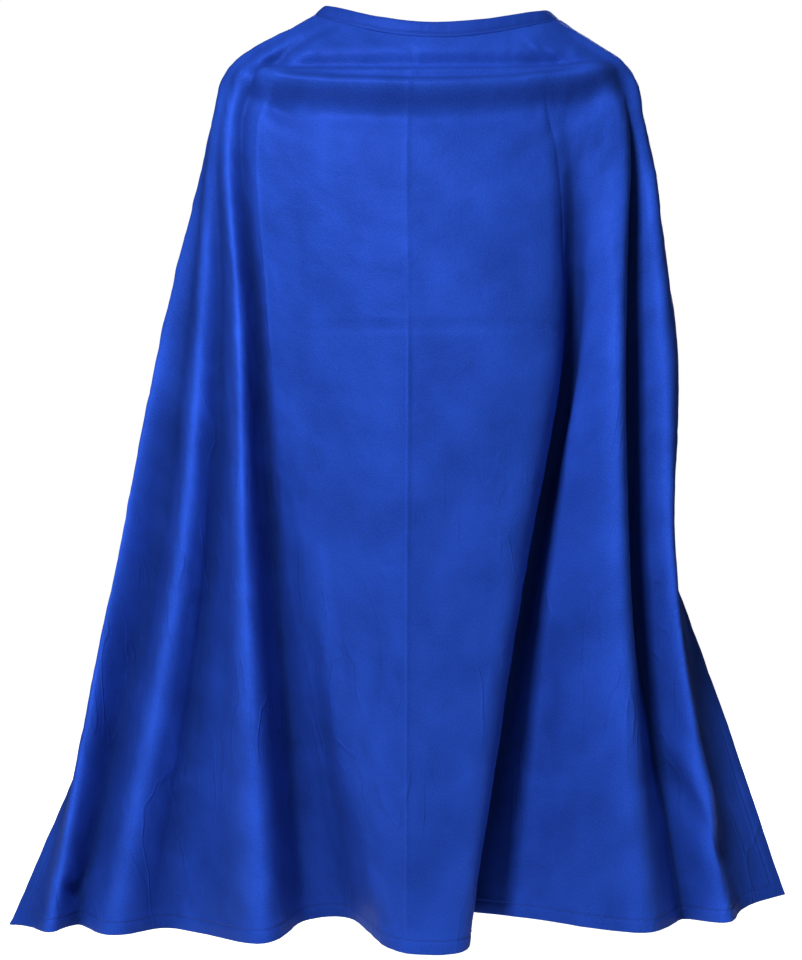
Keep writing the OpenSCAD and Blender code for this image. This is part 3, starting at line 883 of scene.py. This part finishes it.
def add(tree, kind, links=None, **settings):
    """A node with its settings and its links, both by socket or property name."""
    made = tree.nodes.new(kind)
    for name, value in settings.items():
        if hasattr(made, name):
            setattr(made, name, value)
        else:
            made.inputs[name.replace("_", " ")].default_value = value
    for name, source in (links or {}).items():
        tree.links.new(source, made.inputs[name])
    return made


def new_material(name, roughness, **settings):
    """A material with its shader's settings: the material, its node tree and the shader."""
    material = bpy.data.materials.new(name)
    material.use_nodes = True
    shader = material.node_tree.nodes["Principled BSDF"]
    shader.inputs["Roughness"].default_value = roughness
    for setting, value in settings.items():
        shader.inputs[setting.replace("_", " ")].default_value = value
    return material, material.node_tree, shader


def two_tone(tree, shader, source, dark, light, low=0.3, high=0.7):
    """A colour that runs between two tones with a pattern."""
    tones = add(tree, "ShaderNodeValToRGB", {"Fac": source})
    tones.color_ramp.elements[0].position = low
    tones.color_ramp.elements[0].color = srgb(dark)
    tones.color_ramp.elements[1].position = high
    tones.color_ramp.elements[1].color = srgb(light)
    tree.links.new(tones.outputs["Color"], shader.inputs["Base Color"])
    return tones


# Pattern sizes in millimetres. Real knit has stitches of about 0.4 mm, which is too fine to
# show, so its grain is drawn at 1.5 mm.
METRE = 1000
GRAIN_MM, SLUB_MM, CLOUD_MM, CREASE_MM = 1.5, 5, 70, 16
LINE_MM, PATCH_MM = 34, 120
# A wave texture's bands are tau / 20 of a metre apart at scale 1. So the knit's ribs are
# 5.65 mm apart, the waves of the hook tape 7.85 mm, and those of the ribbon 3.77 mm.
RIB_SCALE, HOOK_WAVE_SCALE, RIBBON_WAVE_SCALE = METRE / 18, 40.0, METRE / 12
# How far down the cloth, in metres of its own V, the fine creases begin and are at their full.
CREASED_FROM, CREASED_FULLY = -0.3, -0.62
# The colour's value in a fold's hollow, as painted shade, and on its crown, as painted highlight.
HOLLOW_PAINTED_SHADE, CROWN_PAINTED_HIGHLIGHT = 0.3, 1.7


def noise(tree, place, scale, detail, **settings):
    """The pattern of a noise texture."""
    return add(tree, "ShaderNodeTexNoise", {"Vector": place}, Scale=scale, Detail=detail,
               **settings).outputs["Fac"]


def waves(tree, place, direction, scale, distortion=0.0):
    """The pattern of a wave texture with straight bands."""
    return add(tree, "ShaderNodeTexWave", {"Vector": place}, wave_type="BANDS",
               bands_direction=direction, Scale=scale, Distortion=distortion).outputs["Fac"]


def math_node(tree, operation, *sources):
    """The result of a calculation on other nodes' outputs."""
    return add(tree, "ShaderNodeMath", dict(enumerate(sources)),
               operation=operation).outputs["Value"]


def eased(tree, source, low, high, at_low=0.0, at_high=1.0):
    """A value that runs smoothly from one to another as its source goes from low to high."""
    return add(tree, "ShaderNodeMapRange", {"Value": source}, From_Min=low, From_Max=high,
               To_Min=at_low, To_Max=at_high,
               interpolation_type="SMOOTHSTEP").outputs["Result"]


def fine_creases(tree, place):
    """Thin raised crease lines, longer down the cloth than across it, in patches."""
    stretch = add(tree, "ShaderNodeMapping", {"Vector": place}, Scale=(1, 0.3, 1))
    warp = noise(tree, stretch.outputs["Vector"], METRE / LINE_MM, 1.5, Distortion=0.4)
    off = add(tree, "ShaderNodeMath", {0: warp}, operation="SUBTRACT")
    off.inputs[1].default_value = 0.5
    line = eased(tree, math_node(tree, "ABSOLUTE", off.outputs["Value"]), 0.0, 0.035, 1.0, 0.0)
    shown = eased(tree, noise(tree, place, METRE / PATCH_MM, 1.0), 0.45, 0.6)
    both = math_node(tree, "MULTIPLY", line, shown)
    # The cloth's own V runs down from the neck seam as minus metres.
    along = add(tree, "ShaderNodeSeparateXYZ", {"Vector": place}).outputs["Y"]
    return math_node(tree, "MULTIPLY", both, eased(tree, along, CREASED_FROM, CREASED_FULLY))


def knit_polyester(name, place_output, dark, light):
    """Filament polyester knit, dyed in the piece: a fine even grain of stitches, soft unevenness
    in the dye, small creases from its packet, and a low sheen in its own blue. On the cape cloth
    its colour also carries painted highlight on the folds and painted shade in their hollows."""
    material, tree, shader = new_material(
        name, 0.48, Specular_IOR_Level=0.4, Specular_Tint=srgb("#4F78FF"),
        Sheen_Weight=0.1, Sheen_Roughness=0.4, Sheen_Tint=srgb("#5F86FF"))
    place = add(tree, "ShaderNodeTexCoord").outputs[place_output]
    cloud = noise(tree, place, METRE / CLOUD_MM, 3.0)
    grain = noise(tree, place, METRE / GRAIN_MM, 3.0, Roughness=0.7)
    tone = add(tree, "ShaderNodeMix", {"A": cloud, "B": grain}, data_type="FLOAT", Factor=0.6)
    tones = two_tone(tree, shader, tone.outputs["Result"], dark, light)
    if place_output == "UV":
        # Painted highlight and painted shade: the colour is made lighter along a fold's crown and
        # darker in its hollow.
        painted_light = add(tree, "ShaderNodeAttribute", attribute_name="painted_light")
        value = add(tree, "ShaderNodeMapRange", {"Value": painted_light.outputs["Fac"]}, From_Min=-1.0,
                    To_Min=HOLLOW_PAINTED_SHADE, To_Max=CROWN_PAINTED_HIGHLIGHT)
        painted_light_colour = add(tree, "ShaderNodeHueSaturation",
                    {"Color": tones.outputs["Color"], "Value": value.outputs["Result"]})
        tree.links.new(painted_light_colour.outputs["Color"], shader.inputs["Base Color"])
    normal = None
    for height, strength, distance in [
            (noise(tree, place, METRE / CREASE_MM, 4.0, Roughness=0.6), 0.5, 0.0012),
            (fine_creases(tree, place), 0.55, 0.001),
            (noise(tree, place, METRE / SLUB_MM, 2.0), 0.3, 0.0005),
            (waves(tree, place, "X", RIB_SCALE, 0.6), 0.15, 0.0001),
            (grain, 0.7, 0.0004)]:
        links = {"Height": height, **({"Normal": normal} if normal else {})}
        bump = add(tree, "ShaderNodeBump", links, Strength=strength, Distance=distance)
        normal = bump.outputs["Normal"]
    tree.links.new(normal, shader.inputs["Normal"])
    return material


cloth_material = knit_polyester("knitted_polyester", "UV", "#1C3986", "#2E56BC")
band_material = knit_polyester("knitted_polyester_band", "Object", "#1F3E92", "#284BA6")


def plain_material(name, roughness, tones, scale, detail, bump, bands=None, **settings):
    """Two tones of noise, with a bump (strength, distance) of that noise or of waves."""
    material, tree, shader = new_material(name, roughness, **settings)
    place = add(tree, "ShaderNodeTexCoord").outputs["Object"]
    cloud = noise(tree, place, scale, detail)
    two_tone(tree, shader, cloud, *tones)
    height = waves(tree, place, *bands) if bands else cloud
    fine = add(tree, "ShaderNodeBump", {"Height": height}, Strength=bump[0], Distance=bump[1])
    tree.links.new(fine.outputs["Normal"], shader.inputs["Normal"])
    return material


# Moulded nylon hook tape: a smooth, slightly waxy plastic with broad, faint waves.
hook_material = plain_material(
    "moulded_nylon_hooks", 0.38, ("#1B3488", "#22409C"), 300.0, 2.0, (0.2, 0.0001),
    ("Z", HOOK_WAVE_SCALE), IOR=1.53)
# Brushed nylon loop tape: a matt, fuzzy nap that catches light at its edges.
loop_material = plain_material(
    "brushed_nylon_loops", 0.85, ("#15297A", "#24429E"), METRE / 0.7, 3.0, (0.7, 0.0003),
    Sheen_Weight=0.25, Sheen_Roughness=0.6, Sheen_Tint=srgb("#5472D8"))
# Satin ribbon, blank: off-white and glossy, with soft waves across it.
ribbon_material = plain_material(
    "woven_satin_ribbon", 0.36, ("#DEDED8", "#F0F0EC"), 90.0, 3.0, (0.25, 0.0001),
    ("X", RIBBON_WAVE_SCALE, 1.0), Sheen_Weight=0.1, Sheen_Roughness=0.3)
# Spun polyester sewing thread, a little darker than the cloth, with a fine uneven grain.
thread_material = plain_material(
    "polyester_sewing_thread", 0.6, ("#13246A", "#1C368C"), METRE / 0.5, 2.0, (0.4, 0.0001),
    Sheen_Weight=0.05, Sheen_Tint=srgb("#5F86FF"))


def finish(material, slot, *pieces):
    """Give pieces their material. The slot, the CAD slot that the material stands for, is not
    used.
    """
    for piece in pieces:
        piece.data.materials.append(material)


finish(cloth_material, "cape_cloth", cape_cloth)
finish(band_material, "cape_cloth", neck_band, closure_tab)
finish(hook_material, "hook_tape", hook_tape, hooks)
finish(loop_material, "loop_tape", loop_tape, nap)
finish(ribbon_material, "label_ribbon", care_label)
finish(thread_material, "thread", hem_stitches, left_stitches, right_stitches, neck_stitches,
       tab_stitches, label_stitches)

# The cape is one flared panel, short at the gathered neck edge and long at the hem. Its mean drop
# is measured along the cloth, from the seam to the hem.
drop = np.linalg.norm(np.diff(outer, axis=0), axis=2).sum(axis=0).mean()


# ---------------------------------------------------------------- camera, light and floor
VIEW_X, VIEW_Z, VIEW_DISTANCE = -0.039, -0.497, 2.2
PICTURE_H = 1.0368
camera_data = bpy.data.cameras.new("camera")
camera_data.sensor_width = 36
camera_data.lens = camera_data.sensor_width * VIEW_DISTANCE / PICTURE_H
camera = new_object("camera", camera_data)
camera.location = (VIEW_X, -VIEW_DISTANCE, VIEW_Z)
camera.rotation_euler = (math.radians(90), 0, 0)
scene = bpy.context.scene
scene.camera = camera


def soft_light(name, place, aim, size, watts):
    """A rectangular area light, turned towards a point."""
    data = bpy.data.lights.new(name, "AREA")
    data.shape = "RECTANGLE"
    data.size, data.size_y = size
    data.energy = watts
    light = new_object(name, data)
    light.location = place
    way = np.array(aim) - np.array(place)
    light.rotation_euler = (math.atan2(math.hypot(way[0], way[1]), -way[2]), 0,
                            math.atan2(-way[0], way[1]))


soft_light("key", (-0.9, -2.35, 1.5), (-0.04, 0, -0.5), (0.55, 0.55), 118)
soft_light("front_fill", (0.4, 2.6, 0.6), (0, 0, -0.5), (1.6, 1.6), 40)

WHITE = (1, 1, 1, 1)
# A round pale floor with a painted glow, seen only by the camera, that rises from 0.8 near the
# cape to full white further out, on top of the light that falls on it.
FLOOR_Z, FLOOR_R = -1.16, 9
bpy.ops.mesh.primitive_circle_add(vertices=96, radius=FLOOR_R, fill_type="NGON",
                                  location=(0, 0, FLOOR_Z))
floor = bpy.context.object
floor.name = "floor"
floor_material, tree, shader = new_material("pale_floor_painted_glow", 0.9)
shader.inputs["Base Color"].default_value = srgb("#F2F2F0")
shader.inputs["Emission Color"].default_value = WHITE
place = add(tree, "ShaderNodeTexCoord")
reach = add(tree, "ShaderNodeVectorMath", {0: place.outputs["Object"]}, operation="LENGTH")
# Painted glow: weaker near the cape and full further out, shown to the camera only.
fade = eased(tree, reach.outputs["Value"], 0.5, 2.2, 0.8, 1.0)
glow_for_camera = add(tree, "ShaderNodeLightPath").outputs["Is Camera Ray"]
tree.links.new(math_node(tree, "MULTIPLY", fade, glow_for_camera), shader.inputs["Emission Strength"])
floor.data.materials.append(floor_material)

world = bpy.data.worlds.new("studio")
scene.world = world
world.use_nodes = True
tree = world.node_tree
path = add(tree, "ShaderNodeLightPath")
dim = tree.nodes["Background"]
dim.inputs["Color"].default_value = WHITE
dim.inputs["Strength"].default_value = 0.02
pale = add(tree, "ShaderNodeBackground", Strength=1.0, Color=WHITE)
mix = add(tree, "ShaderNodeMixShader",
          {0: path.outputs["Is Camera Ray"], 1: dim.outputs[0], 2: pale.outputs[0]})
tree.links.new(mix.outputs[0], tree.nodes["World Output"].inputs["Surface"])
scene.view_settings.view_transform = "Standard"
# A little more contrast than the plain transform gives.
scene.view_settings.gamma = 0.87
